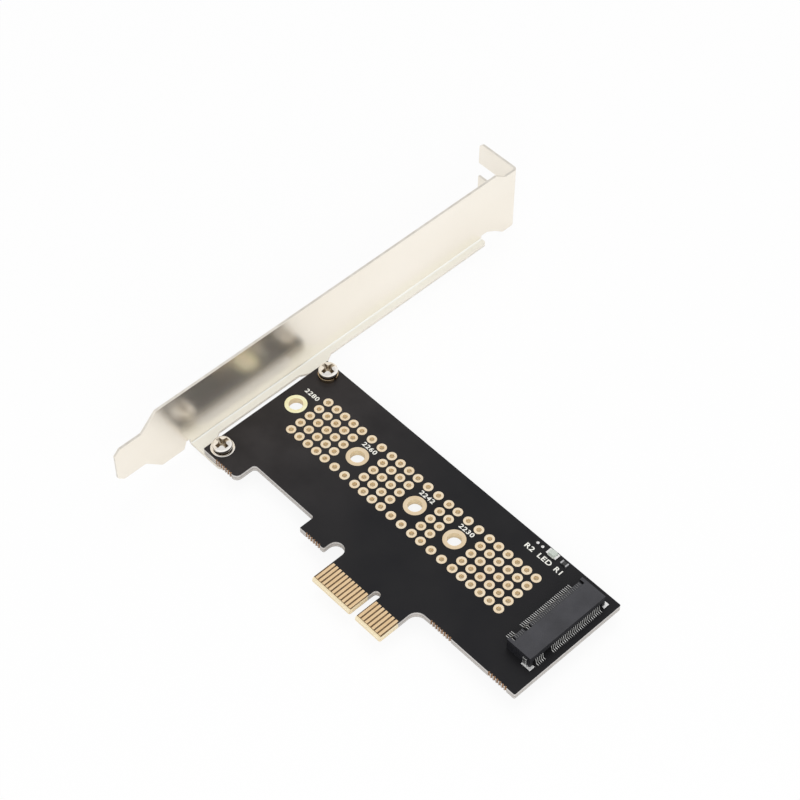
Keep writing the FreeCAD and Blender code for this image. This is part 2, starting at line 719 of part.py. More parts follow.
def capped_end(x_low, x_high, width, height, closed_side):
    """Metal cap that wraps one end of a chip: a block with the chip's body cut out of it."""
    half = width / 2 + TERMINAL_WRAP
    outer = block(x_low, x_high, CHIP_ROW - half, CHIP_ROW + half, FACE, FACE + height + 2 * TERMINAL_WRAP)
    inner_low = x_low + TERMINAL_WRAP if closed_side < 0 else x_low
    inner_high = x_high - TERMINAL_WRAP if closed_side > 0 else x_high
    half = width / 2
    base = FACE + TERMINAL_WRAP
    return outer.cut(block(inner_low, inner_high, CHIP_ROW - half, CHIP_ROW + half, base, base + height))


def lamp_base():
    """Flat carrier of the indicator lamp."""
    half = LAMP_LENGTH / 2 - TERMINAL_WRAP
    wide = LAMP_WIDTH / 2
    low = FACE + TERMINAL_WRAP
    high = low + LAMP_BASE_HEIGHT
    return block(LAMP_PLACE - half, LAMP_PLACE + half, CHIP_ROW - wide, CHIP_ROW + wide, low, high)


def lamp_lens():
    """Cast lens on the lamp's carrier, drawn in a little towards its top."""
    low = FACE + TERMINAL_WRAP + LAMP_BASE_HEIGHT
    wires = []
    for z, inset in ((low, 0), (low + LAMP_LENS_HEIGHT, LAMP_LENS_DRAFT)):
        a = LAMP_LENS_LENGTH / 2 - inset
        b = LAMP_WIDTH / 2 - inset
        flat = [(-a, -b), (a, -b), (a, b), (-a, b)]
        points = [Vector(LAMP_PLACE + x, CHIP_ROW + y, z) for x, y in flat]
        wires.append(Part.makePolygon(points + points[:1]))
    return Part.makeLoft(wires, True, True)


def lamp_terminal(side):
    """Solderable cap on one end of the lamp."""
    end = LAMP_PLACE + side * LAMP_LENGTH / 2
    start = end - side * LAMP_TERMINAL_LENGTH
    return capped_end(min(start, end), max(start, end), LAMP_WIDTH, LAMP_BASE_HEIGHT, side)


def resistor_body():
    """Ceramic body of the chip resistor."""
    half = RESISTOR_LENGTH / 2 - TERMINAL_WRAP
    wide = RESISTOR_WIDTH / 2
    low = FACE + TERMINAL_WRAP
    high = low + RESISTOR_HEIGHT
    return block(RESISTOR_PLACE - half, RESISTOR_PLACE + half, CHIP_ROW - wide, CHIP_ROW + wide, low, high)


def resistor_terminal(side):
    """Solderable cap on one end of the resistor."""
    end = RESISTOR_PLACE + side * RESISTOR_LENGTH / 2
    start = end - side * RESISTOR_TERMINAL_LENGTH
    return capped_end(min(start, end), max(start, end), RESISTOR_WIDTH, RESISTOR_HEIGHT, side)


def spare_pads():
    """Two low solder domes where a second resistor could sit."""
    domes = []
    for side in (-1, 1):
        x = SPARE_PAD_PLACE + side * SPARE_PAD_SPACING / 2
        top = FACE + SPARE_PAD_HEIGHT
        foot = Part.Wire(Part.makeCircle(SPARE_PAD_RADIUS, Vector(x, CHIP_ROW, FACE)))
        crown = Part.Wire(Part.makeCircle(SPARE_PAD_RADIUS / 2, Vector(x, CHIP_ROW, top)))
        domes.append(Part.makeLoft([foot, crown], True, True))
    return Part.makeCompound(domes)


def all_pieces():
    """Every piece of the card under its node name."""
    upper_wide, upper_narrow = pin_offsets(UPPER_ROW_START, UPPER_NARROW_COUNT)
    lower_wide, lower_narrow = pin_offsets(LOWER_ROW_START, LOWER_NARROW_COUNT)
    pieces = {"circuit_board": circuit_board()}
    last_left = -(KEY_TO_FINGER + (LEFT_FINGER_COUNT - 1) * FINGER_PITCH)
    for name, back in (("front", False), ("back", True)):
        pieces["edge_contacts_long_" + name] = edge_contacts(last_left, LEFT_FINGER_COUNT, back)
        pieces["edge_contacts_short_" + name] = edge_contacts(KEY_TO_FINGER, RIGHT_FINGER_COUNT, back)
    for length, x in zip(MODULE_LENGTHS, standoff_places()):
        pieces["standoff_plating_%d" % length] = standoff_plating(x)
    pieces["bracket"] = bracket()
    lower, upper = SCREW_PLACES
    pieces["lower_bracket_screw"] = bracket_screw(*lower, FACE + FLAT_WASHER_THICKNESS)
    pieces["upper_bracket_screw"] = bracket_screw(*upper, FACE + SPRING_WASHER_THICKNESS)
    pieces["flat_washer"] = flat_washer(*lower)
    pieces["spring_washer"] = spring_washer(*upper)
    pieces["socket_housing"] = socket_housing()
    upper_path = upper_pin_path(MODULE_STOP - UPPER_TIP_REACH, 0)
    lower_path = lower_pin_path(0)
    pieces["socket_rear_pins_wide"] = socket_pins(upper_path, upper_wide)
    pieces["socket_rear_pins_narrow"] = socket_pins(upper_path, upper_narrow)
    pieces["socket_front_pins_wide"] = socket_pins(lower_path, lower_wide)
    pieces["socket_front_pins_narrow"] = socket_pins(lower_path, lower_narrow)
    pieces["socket_clip_far"] = socket_clip(1)
    pieces["socket_clip_near"] = socket_clip(-1)
    pieces["lamp_base"] = lamp_base()
    pieces["lamp_lens"] = lamp_lens()
    pieces["lamp_terminal_left"] = lamp_terminal(-1)
    pieces["lamp_terminal_right"] = lamp_terminal(1)
    pieces["resistor_body"] = resistor_body()
    pieces["resistor_terminal_left"] = resistor_terminal(-1)
    pieces["resistor_terminal_right"] = resistor_terminal(1)
    pieces["spare_solder_pads"] = spare_pads()
    return pieces


os.makedirs("parts", exist_ok=True)
for node, shape in all_pieces().items():
    if not shape.isValid():
        raise ValueError("not a valid solid: " + node)
    shape.exportStep("parts/%s.step" % node)
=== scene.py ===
import math

import bmesh
import bpy
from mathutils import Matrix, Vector


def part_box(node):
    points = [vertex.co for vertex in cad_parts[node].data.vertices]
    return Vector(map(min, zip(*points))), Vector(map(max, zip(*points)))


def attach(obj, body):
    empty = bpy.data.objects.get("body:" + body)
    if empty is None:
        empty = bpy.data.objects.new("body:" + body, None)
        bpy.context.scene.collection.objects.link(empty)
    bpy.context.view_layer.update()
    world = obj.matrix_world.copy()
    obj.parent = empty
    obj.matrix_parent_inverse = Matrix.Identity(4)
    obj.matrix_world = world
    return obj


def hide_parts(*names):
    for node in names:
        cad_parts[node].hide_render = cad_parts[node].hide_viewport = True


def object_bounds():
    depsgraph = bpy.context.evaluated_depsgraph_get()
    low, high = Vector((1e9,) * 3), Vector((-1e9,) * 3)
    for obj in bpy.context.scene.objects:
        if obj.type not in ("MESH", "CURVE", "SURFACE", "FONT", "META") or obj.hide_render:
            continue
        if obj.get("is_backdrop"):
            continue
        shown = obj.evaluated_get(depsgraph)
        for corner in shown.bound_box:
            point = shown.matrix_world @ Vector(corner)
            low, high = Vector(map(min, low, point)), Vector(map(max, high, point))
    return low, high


# The card lies face up. Sizes below are in millimetres and MM turns them into scene units.
# The frame's origin is the key notch's centre, the tongue's tip and the middle of the board's thickness.
MM = 0.001

# Camera, fitted to the card's standard sizes in the photograph
CAMERA_PLACE = (179.06, -157.13, 365.56)
CAMERA_TURN_DEG = (38.888, -0.175, 46.634)
CAMERA_LENS = 95.49
CAMERA_SENSOR = 36.0
CAMERA_NEAR = 10.0
CAMERA_FAR = 20000.0

# Lamps: both point at one place in the middle of the card
LAMP_TARGET = (0.0, 30.0, 0.0)
KEY_PLACE = (-180.0, 260.0, 700.0)
KEY_SIZE = 500.0
KEY_POWER = 1.2
FILL_PLACE = (420.0, -330.0, 330.0)
FILL_SIZE = 420.0
FILL_POWER = 1.7

# Surroundings: white where they are seen, a little duller overhead where they are reflected
ROOM_LIGHT = 0.62
SEEN_WHITE = 1.0
PLAIN_WHITE = (1.0, 1.0, 1.0, 1.0)
CEILING_SHADE = 0.80
CEILING_SIDE = (-0.4, 0.0, 1.0)
CEILING_START = 0.6
CEILING_END = 0.85

# Floor: the shares are how much of it glows by itself, seen straight and in reflections
FLOOR_COLOUR = (0.97, 0.97, 0.97, 1.0)
FLOOR_ROUGHNESS = 0.9
FLOOR_SEEN_SHARE = 0.9
FLOOR_REFLECTED_SHARE = 0.5
FLOOR_REACH = 4000.0
FLOOR_GAP = 0.02

# Mesh clean-up
WELD = 0.0005
TOUCH = 0.01
FLAT_ANGLE = math.radians(0.6)
SHARP_ANGLE = math.radians(28)
BEVEL_PROFILE = 0.5

# A face is level or upright by the share of Z in its normal
LEVEL_LIMIT = 0.9
# Upright faces of the socket's housing and clips, found by this share, get painted shade
SHADED_SIDE_LEVEL_LIMIT = 0.5

# Places of X and Y in a point
X_AXIS = 0
Y_AXIS = 1

# Corners of a brick's faces, with X changing fastest and Z slowest
BRICK_FACES = ((0, 2, 3, 1), (4, 5, 7, 6), (0, 1, 5, 4), (2, 6, 7, 3), (0, 4, 6, 2), (1, 3, 7, 5))

# Noise stays mostly between these two values
NOISE_LOW = 0.3
NOISE_HIGH = 0.7
NOISE_DETAIL = 3.0

# Roughness changes over patches that are finer than the colour's by this factor
ROUGHNESS_FINENESS = 3

# Sockets of Blender's mix node when it mixes colours
MIX_SHARE = 0
MIX_FIRST = 6
MIX_SECOND = 7
MIX_RESULT = 2

# Glass fibres in the board's cut edge
FIBRE_STRETCH = (1.0, 1.0, 6.0)
FIBRE_SIZE = 0.5
FIBRE_DETAIL = 5.0
FIBRE_SHIFT = 0.03
FIBRE_ROUGHNESS = (0.45, 0.7)
FIBRE_BUMP = 0.02

# Cast resin of the lamp
RESIN_CLEARNESS = 0.35
RESIN_REFRACTION = 1.5

# The mask is painted a little warmer and lighter towards the bracket, between these two X: a painted reflection
# of the bright bracket
MASK_REFLECTION_SPAN = (-5.0, -52.0)
MASK_REFLECTION_PATCH = 9.0

# The plug tongue is bare laminate below this Y and to the right of this X
TONGUE_BARE_TOP = 5.3
TONGUE_LEFT = -13.0

# The nicks along the board's edge are half octagons with short walls
NICK_WALL = 0.22
NICK_TURN = math.radians(45)
NICK_TURN_TOLERANCE = 0.05

# Places where a module can end, named by its length
MODULE_SIZES = (80, 60, 42, 30)

# Plated holes: the shares are multiplied by the rim's rounding
VIA_PAD_RADIUS = 1.13
VIA_BORE_RADIUS = 0.53
VIA_RIM_LIMIT = 0.7
VIA_STEPS = 28
PLATE_HEIGHT = 0.05
STANDOFF_BORE_RADIUS = 1.6
STANDOFF_STEPS = 72
RIM_ROUNDING = 0.03
RIM_CORNER_SHARE = 0.3
RIM_OUTER_SHARE = 2
RIM_INNER_SHARE = 3

# Screws
HEAD_RADIUS = 2.2
HEAD_SIDE = 0.95
HEAD_RIM_SOFTNESS = 0.14
NECK_RADIUS = 1.75
NECK_HEIGHT = 0.22
UNDERSIDE_HEIGHT = 0.42
DOME_STEPS = 12
DOME_FULLNESS = 2.4
SCREW_STEPS = 64
SHANK_RADIUS = 1.25
SHANK_CHAMFER = 0.3
RECESS_REACH = 1.65
RECESS_HALF_WIDTH = 0.46
RECESS_HUB = 0.34
RECESS_FOOT_REACH = 0.8
RECESS_FOOT_HALF_WIDTH = 0.2
RECESS_FOOT_HUB = 0.2
RECESS_DEPTH = 1.0
RECESS_STRAIGHT_DEPTH = 0.15
RECESS_CUTTER_LIFT = 0.3
RECESS_WALL_TILT = 0.8
RECESS_FLOOR_DROP = 0.5

# Washers
WASHER_BORE_GAP = 0.15
WASHER_ROUNDING = 0.08
WASHER_STEPS = 72

# Bracket sheet: a patch of faces is a sheared edge where its mean width is small
SHEET_TURN = math.radians(50)
SHEARED_WIDTH = 1.0
SHEET_ROUNDING = 0.1
SHEET_ROUNDING_STEPS = 3
# Up-facing plated faces near the board, found by these two numbers, get a painted highlight
FLANGE_LEAN = 0.3
FLANGE_LIMIT = 2.0

# Socket and its contacts
HOUSING_ROUNDING = 0.05
PIN_PITCH = 0.5
PIN_WIDTH = 0.2
PIN_SHARE = 0.64
PIN_ROUNDING = 0.02
PIN_SHADED_SIDE_LIMIT = 0.9
PIN_SHADED_RISER_LIMIT = 0.3
CLIP_FOOT_LIMIT = 0.6
CLIP_ROUNDING = 0.04
SOLDER_PAD_WIDTH = 0.12
SOLDER_PAD_HEIGHT = 0.03
SOLDER_PAD_PROUD = 0.2
SOLDER_PAD_UNDER = 0.4
COMB_FRONT_TO_BEAM = 0.36
COMB_TIP_LENGTH = 0.9
COMB_TIP_DROP = 0.02
COMB_TIP_HEIGHT = 0.45

# Contacts of the plug tongue
FINGER_PITCH = 1.0
FINGER_WIDTH = 0.7
FINGER_SHARE = 0.92
FINGER_ROUNDING = 0.015

# Chips
CARRIER_ROUNDING = 0.03
LENS_ROUNDING = 0.1
LENS_ROUNDING_STEPS = 3
CERAMIC_ROUNDING = 0.04
TERMINAL_ROUNDING = 0.015
SOLDER_ROUNDING = 0.03

# Printed legend: each size has its number beside its hole, and each chip its name, start and width
INK_HEIGHT = 0.02
INK_SPREAD = 0.02
LETTER_DEPTH = 0.5
LETTER_SPACING = 1.12
SIZE_TEXT_HEIGHT = 1.15
SIZE_TEXT_WIDTH = 4.1
SIZE_TEXT_START = -1.85
SIZE_TEXT_RISE = 2.9
FIRST_SIZE_TEXT_START = -1.5
FIRST_SIZE_TEXT_RISE = 3.8
PART_TEXT_Y = 37.7
PART_TEXT_HEIGHT = 1.25
PART_TEXTS = (("R2", 12.15, 2.3), ("LED", 15.85, 3.6), ("R1", 20.6, 1.8))

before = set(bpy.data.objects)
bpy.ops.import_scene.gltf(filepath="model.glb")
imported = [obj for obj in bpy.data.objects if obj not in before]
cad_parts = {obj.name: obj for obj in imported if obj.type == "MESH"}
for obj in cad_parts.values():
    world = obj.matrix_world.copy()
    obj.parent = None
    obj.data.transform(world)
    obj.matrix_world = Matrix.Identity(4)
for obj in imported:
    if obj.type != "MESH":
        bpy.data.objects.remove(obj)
cad_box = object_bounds()
board_low, board_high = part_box("circuit_board")
FACE = board_high.z / MM
BACK = board_low.z / MM


def shader_of(name):
    """A new material with its node tree and its main shader."""
    made = bpy.data.materials.new(name)
    made.use_nodes = True
    return made, made.node_tree, made.node_tree.nodes["Principled BSDF"]


def place_vector(tree, stretch=(1.0, 1.0, 1.0)):
    """Object coordinates in millimetres, stretched along the axes."""
    coordinates = tree.nodes.new("ShaderNodeTexCoord")
    mapping = tree.nodes.new("ShaderNodeMapping")
    mapping.inputs["Scale"].default_value = [factor / MM for factor in stretch]
    tree.links.new(coordinates.outputs["Object"], mapping.inputs["Vector"])
    return mapping.outputs["Vector"]


def split_place(tree):
    """Object coordinates in scene units, one axis at a time."""
    coordinates = tree.nodes.new("ShaderNodeTexCoord")
    split = tree.nodes.new("ShaderNodeSeparateXYZ")
    tree.links.new(coordinates.outputs["Object"], split.inputs["Vector"])
    return split.outputs


def noise(tree, vector, size, detail=NOISE_DETAIL):
    """Cloudy noise whose features are about the given size in millimetres."""
    node = tree.nodes.new("ShaderNodeTexNoise")
    node.inputs["Scale"].default_value = 1.0 / size
    node.inputs["Detail"].default_value = detail
    tree.links.new(vector, node.inputs["Vector"])
    return node.outputs["Fac"]


def between(tree, value, low, high):
    """The noise's usual range mapped onto two numbers."""
    node = tree.nodes.new("ShaderNodeMapRange")
    node.inputs["From Min"].default_value = NOISE_LOW
    node.inputs["From Max"].default_value = NOISE_HIGH
    node.inputs["To Min"].default_value = low
    node.inputs["To Max"].default_value = high
    tree.links.new(value, node.inputs["Value"])
    return node.outputs["Result"]


def ramped(tree, value, bands):
    """A value turned into colour by a list of positions and colours."""
    ramp = tree.nodes.new("ShaderNodeValToRGB")
    elements = ramp.color_ramp.elements
    for position, _ in bands[len(elements):]:
        elements.new(position)
    for element, (position, colour) in zip(elements, bands):
        element.position = position
        element.color = (*colour, 1.0)
    tree.links.new(value, ramp.inputs["Fac"])
    return ramp.outputs["Color"]


def blended(tree, value, low, high):
    """The noise's usual range mapped onto two colours."""
    return ramped(tree, value, ((NOISE_LOW, low), (NOISE_HIGH, high)))


def raised(tree, value, height):
    """Bump of a height in millimetres."""
    node = tree.nodes.new("ShaderNodeBump")
    node.inputs["Distance"].default_value = height * MM
    tree.links.new(value, node.inputs["Height"])
    return node.outputs["Normal"]


def combined(tree, operation, first, second):
    """Two values joined by a sum, product or maximum; each is a node's output or a plain number."""
    node = tree.nodes.new("ShaderNodeMath")
    node.operation = operation
    for socket, value in zip(node.inputs, (first, second)):
        if isinstance(value, float):
            socket.default_value = value
        else:
            tree.links.new(value, socket)
    return node.outputs["Value"]


def finish(name, colours, roughness, patch, grain, bump,
           metallic=0.0, specular=0.5, stretch=(1.0, 1.0, 1.0)):
    """A surface with broad colour patches, finer roughness changes and a fine grain."""
    made, tree, shader = shader_of(name)
    vector = place_vector(tree, stretch)
    colour = blended(tree, noise(tree, vector, patch), *colours)
    gloss = between(tree, noise(tree, vector, patch / ROUGHNESS_FINENESS), *roughness)
    relief = raised(tree, noise(tree, vector, grain), bump)
    tree.links.new(colour, shader.inputs["Base Color"])
    tree.links.new(gloss, shader.inputs["Roughness"])
    tree.links.new(relief, shader.inputs["Normal"])
    shader.inputs["Metallic"].default_value = metallic
    shader.inputs["Specular IOR Level"].default_value = specular
    return made


def painted_reflection_towards(made, span, colours, patch):
    """Paint a reflection into a finish: carry its colour over into another pair of colours between two places
    along X.
    """
    tree = made.node_tree
    shader = tree.nodes["Principled BSDF"]
    base = shader.inputs["Base Color"].links[0].from_socket
    share = tree.nodes.new("ShaderNodeMapRange")
    share.interpolation_type = "SMOOTHSTEP"
    share.inputs["From Min"].default_value = span[0] * MM
    share.inputs["From Max"].default_value = span[1] * MM
    tree.links.new(split_place(tree)["X"], share.inputs["Value"])
    lighter = blended(tree, noise(tree, place_vector(tree), patch), *colours)
    mix = tree.nodes.new("ShaderNodeMix")
    mix.data_type = "RGBA"
    tree.links.new(share.outputs["Result"], mix.inputs[MIX_SHARE])
    tree.links.new(base, mix.inputs[MIX_FIRST])
    tree.links.new(lighter, mix.inputs[MIX_SECOND])
    tree.links.new(mix.outputs[MIX_RESULT], shader.inputs["Base Color"])


def laminate_edge(name, bands):
    """Cut edge of the board: bands across its thickness, broken up by glass fibres that run along it."""
    made, tree, shader = shader_of(name)
    height = tree.nodes.new("ShaderNodeMapRange")
    height.inputs["From Min"].default_value = board_low.z
    height.inputs["From Max"].default_value = board_high.z
    tree.links.new(split_place(tree)["Z"], height.inputs["Value"])
    fibres = noise(tree, place_vector(tree, FIBRE_STRETCH), FIBRE_SIZE, FIBRE_DETAIL)
    shift = between(tree, fibres, -FIBRE_SHIFT, FIBRE_SHIFT)
    level = combined(tree, "ADD", height.outputs["Result"], shift)
    tree.links.new(ramped(tree, level, bands), shader.inputs["Base Color"])
    tree.links.new(between(tree, fibres, *FIBRE_ROUGHNESS), shader.inputs["Roughness"])
    tree.links.new(raised(tree, fibres, FIBRE_BUMP), shader.inputs["Normal"])
    return made


def cast_resin(name, colours, roughness, patch, grain, bump):
    """Milky resin that lets some light through."""
    made = finish(name, colours, roughness, patch, grain, bump)
    shader = made.node_tree.nodes["Principled BSDF"]
    shader.inputs["Transmission Weight"].default_value = RESIN_CLEARNESS
    shader.inputs["IOR"].default_value = RESIN_REFRACTION
    return made


# Board. Each finish has its darker and lighter colour, its smoothest and roughest value,
# and then the sizes of its colour patches and grain and the height of its grain in millimetres.
MASK = finish(
    "satin_black_mask", ((0.011, 0.011, 0.013), (0.018, 0.0175, 0.0185)), (0.34, 0.46),
    patch=14.0, grain=0.35, bump=0.0016, specular=0.14)
# Painted reflection of the bracket: the mask turns lighter and warmer towards it
painted_reflection_towards(MASK, MASK_REFLECTION_SPAN, ((0.025, 0.022, 0.022), (0.042, 0.038, 0.038)), MASK_REFLECTION_PATCH)
NICK = finish(
    "torn_laminate", ((0.20, 0.10, 0.05), (0.42, 0.26, 0.14)), (0.5, 0.8),
    patch=0.4, grain=0.06, bump=0.02)
BARE = finish(
    "bare_laminate", ((0.09, 0.05, 0.018), (0.16, 0.09, 0.035)), (0.4, 0.55),
    patch=1.2, grain=0.2, bump=0.004)
EDGE = laminate_edge("routed_edge", (
    (0.0, (0.10, 0.09, 0.085)),
    (0.10, (0.55, 0.52, 0.49)),
    (0.42, (0.50, 0.47, 0.44)),
    (0.50, (0.20, 0.18, 0.17)),
    (0.58, (0.55, 0.52, 0.49)),
    (0.9, (0.62, 0.60, 0.58)),
    (1.0, (0.12, 0.11, 0.11)),
))
TIP = laminate_edge("tongue_edge", (
    (0.0, (0.70, 0.56, 0.34)),
    (0.3, (0.92, 0.80, 0.57)),
    (0.5, (0.76, 0.62, 0.40)),
    (0.7, (0.94, 0.84, 0.62)),
    (1.0, (0.80, 0.66, 0.42)),
))
INK = finish(
    "printed_ink", ((0.93, 0.92, 0.84), (1.0, 0.99, 0.93)), (0.5, 0.7),
    patch=0.7, grain=0.08, bump=0.004)

# Gold
GOLD = finish(
    "plated_gold", ((0.91, 0.72, 0.48), (0.98, 0.82, 0.60)), (0.28, 0.38),
    patch=3.0, grain=0.12, bump=0.0015, metallic=1.0)
PAD_GOLD = finish(
    "pad_gold", ((0.96, 0.77, 0.53), (1.0, 0.86, 0.65)), (0.28, 0.38),
    patch=3.0, grain=0.12, bump=0.0015, metallic=0.8)
PALE_GOLD = finish(
    "pale_gold", ((0.98, 0.91, 0.55), (1.0, 0.98, 0.68)), (0.28, 0.36),
    patch=1.6, grain=0.12, bump=0.002, metallic=0.45)
BARREL = finish(
    "gold_barrel", ((0.94, 0.74, 0.47), (1.0, 0.87, 0.60)), (0.3, 0.45),
    patch=0.45, grain=0.1, bump=0.003, metallic=0.6)
CONTACT_GOLD = finish(
    "contact_gold", ((0.92, 0.65, 0.37), (1.0, 0.76, 0.48)), (0.28, 0.36),
    patch=2.0, grain=0.1, bump=0.002, metallic=1.0, stretch=(6.0, 0.6, 1.0))

# Bracket and its screws
NICKEL = finish(
    "nickel_plated_sheet", ((0.93, 0.87, 0.765), (0.985, 0.93, 0.84)), (0.23, 0.27),
    patch=18.0, grain=0.25, bump=0.0006, metallic=0.915, stretch=(1.0, 0.35, 1.0))
# Painted highlight: a paler, less metallic copy of the nickel for the flange and bend near the board
FLANGE_HIGHLIGHT = finish(
    "nickel_flange_painted_highlight", ((0.95, 0.95, 0.89), (1.0, 1.0, 0.95)), (0.28, 0.36),
    patch=9.0, grain=0.25, bump=0.0012, metallic=0.6, stretch=(1.0, 0.35, 1.0))
SHEARED = finish(
    "sheared_sheet_edge", ((0.72, 0.68, 0.61), (0.86, 0.82, 0.75)), (0.3, 0.5),
    patch=1.5, grain=0.12, bump=0.004, metallic=0.9)
CHROME = finish(
    "bright_screw", ((0.84, 0.80, 0.75), (0.96, 0.93, 0.89)), (0.05, 0.12),
    patch=1.6, grain=0.15, bump=0.0012, metallic=1.0)
# Painted shade: a dark copy of the screw steel for the recess walls
RECESS_PAINTED_SHADE = finish(
    "screw_recess_painted_shade", ((0.21, 0.17, 0.125), (0.64, 0.57, 0.47)), (0.14, 0.27),
    patch=0.45, grain=0.1, bump=0.003, metallic=1.0)
# Painted shade: a near-black copy of the steel for the neck and the underside of the head
SHADE = finish(
    "screw_neck_painted_shade", ((0.015, 0.011, 0.008), (0.06, 0.045, 0.032)), (0.25, 0.45),
    patch=0.5, grain=0.1, bump=0.003, metallic=0.8)
SPRING = finish(
    "spring_steel", ((0.40, 0.26, 0.14), (0.95, 0.78, 0.54)), (0.12, 0.26),
    patch=0.9, grain=0.12, bump=0.002, metallic=1.0)

# Socket
PLASTIC = finish(
    "socket_plastic", ((0.030, 0.030, 0.035), (0.045, 0.045, 0.052)), (0.42, 0.6),
    patch=5.0, grain=0.08, bump=0.003)
# Painted shade: a darker copy of the plastic for the housing's upright sides
PLASTIC_SHADED_SIDE = finish(
    "socket_plastic_painted_shade", ((0.009, 0.009, 0.011), (0.017, 0.017, 0.020)), (0.5, 0.7),
    patch=2.0, grain=0.08, bump=0.004, specular=0.2)
PIN_FACE = finish(
    "pin_face", ((0.42, 0.42, 0.41), (1.0, 1.0, 0.98)), (0.16, 0.27),
    patch=0.5, grain=0.1, bump=0.002, metallic=0.7, stretch=(0.2, 1.0, 0.2))
# Painted shade: darker copies of the pin metal for the risers and the sides
PIN_SHADED_RISER = finish(
    "pin_riser_painted_shade", ((0.34, 0.34, 0.33), (0.66, 0.66, 0.64)), (0.16, 0.27),
    patch=0.7, grain=0.1, bump=0.002, metallic=1.0, stretch=(0.2, 1.0, 0.2))
PIN_SHADED_SIDE = finish(
    "pin_side_painted_shade", ((0.03, 0.03, 0.03), (0.09, 0.09, 0.085)), (0.4, 0.6),
    patch=0.5, grain=0.06, bump=0.003, metallic=0.7)
SHADED_TIN = finish(
    "shaded_tin", ((0.20, 0.20, 0.20), (0.32, 0.32, 0.32)), (0.3, 0.5),
    patch=0.6, grain=0.08, bump=0.003, metallic=0.9)
CLIP = finish(
    "soldered_clip", ((0.80, 0.80, 0.79), (0.97, 0.97, 0.96)), (0.35, 0.6),
    patch=0.6, grain=0.12, bump=0.006, metallic=0.55)
# Painted shade: a darker copy of the clip metal for its upright and raised parts
CLIP_SHADED_SIDE = finish(
    "clip_painted_shade", ((0.10, 0.10, 0.10), (0.22, 0.22, 0.22)), (0.35, 0.6),
    patch=0.6, grain=0.12, bump=0.006, metallic=0.8)
SOLDER = finish(
    "solder", ((0.86, 0.85, 0.83), (0.97, 0.96, 0.95)), (0.12, 0.27),
    patch=0.6, grain=0.15, bump=0.006, metallic=1.0)

# Chips
TIN = finish(
    "tinned_metal", ((0.88, 0.87, 0.85), (0.98, 0.97, 0.96)), (0.16, 0.27),
    patch=0.9, grain=0.1, bump=0.002, metallic=1.0)
# Painted shade: a darker copy of the tin for the resistor's terminals
SHADED_TERMINAL_TIN = finish(
    "terminal_tin_painted_shade", ((0.36, 0.36, 0.37), (0.66, 0.66, 0.66)), (0.3, 0.5),
    patch=0.5, grain=0.08, bump=0.003, metallic=0.8)
CARRIER = finish(
    "white_carrier", ((0.78, 0.81, 0.74), (0.90, 0.93, 0.87)), (0.4, 0.55),
    patch=0.9, grain=0.1, bump=0.003)
CERAMIC = finish(
    "coated_ceramic", ((0.02, 0.02, 0.02), (0.05, 0.05, 0.05)), (0.28, 0.38),
    patch=0.8, grain=0.1, bump=0.003)
LENS = cast_resin(
    "lamp_resin", ((0.82, 0.92, 0.82), (0.93, 0.99, 0.91)), (0.12, 0.25),
    patch=0.8, grain=0.2, bump=0.002)


def cad_mesh(node):
    """A CAD node's mesh in millimetres, welded and with its flat faces joined up."""
    mesh = bmesh.new()
    mesh.from_mesh(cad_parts[node].data)
    bmesh.ops.scale(mesh, vec=(1 / MM, 1 / MM, 1 / MM), verts=mesh.verts)
    bmesh.ops.remove_doubles(mesh, verts=mesh.verts, dist=WELD)
    bmesh.ops.dissolve_limit(mesh, angle_limit=FLAT_ANGLE, verts=mesh.verts, edges=mesh.edges)
    return mesh


def soften(mesh, width, segments=2):
    """Round the sharp edges of a mesh."""
    sharp = [e for e in mesh.edges if len(e.link_faces) == 2 and e.calc_face_angle() > SHARP_ANGLE]
    bmesh.ops.bevel(
        mesh, geom=sharp, offset=width, offset_type="OFFSET", segments=segments,
        profile=BEVEL_PROFILE, affect="EDGES", clamp_overlap=True)


def piece(name, mesh, looks, replaces=(), weighted=True):
    """Turn a mesh in millimetres into a piece of the card."""
    bmesh.ops.scale(mesh, vec=(MM, MM, MM), verts=mesh.verts)
    bmesh.ops.recalc_face_normals(mesh, faces=mesh.faces)
    for face in mesh.faces:
        face.smooth = True
    data = bpy.data.meshes.new(name)
    mesh.to_mesh(data)
    mesh.free()
    data.set_sharp_from_angle(angle=SHARP_ANGLE)
    for look in looks:
        data.materials.append(look)
    made = bpy.data.objects.new(name, data)
    bpy.context.scene.collection.objects.link(made)
    if weighted:
        made.modifiers.new("even_shading", "WEIGHTED_NORMAL").keep_sharp = True
    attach(made, "root")
    if replaces:
        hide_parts(*replaces)


def dressed(node, look, width, segments=2):
    """The CAD node's own shape with rounded edges and a finish."""
    mesh = cad_mesh(node)
    soften(mesh, width, segments)
    piece(node + "_look", mesh, [look], [node])


def node_centre(node):
    """Middle of a CAD node in plan, in millimetres."""
    low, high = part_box(node)
    return (low.x + high.x) / 2 / MM, (low.y + high.y) / 2 / MM


def turned(mesh, profile, centre, steps):
    """Turn a closed profile of radius and height round an upright axis."""
    rings = []
    for radius, height in profile:
        if radius == 0:
            rings.append([mesh.verts.new((centre[0], centre[1], height))])
            continue
        ring = []
        for step in range(steps):
            angle = 2 * math.pi * step / steps
            x = centre[0] + radius * math.cos(angle)
            y = centre[1] + radius * math.sin(angle)
            ring.append(mesh.verts.new((x, y, height)))
        rings.append(ring)
    for index, ring in enumerate(rings):
        following = rings[(index + 1) % len(rings)]
        if len(ring) == 1 and len(following) == 1:
            continue
        for step in range(steps):
            after = (step + 1) % steps
            if len(ring) == 1:
                mesh.faces.new((ring[0], following[after], following[step]))
            elif len(following) == 1:
                mesh.faces.new((ring[step], ring[after], following[0]))
            else:
                mesh.faces.new((ring[step], ring[after], following[after], following[step]))


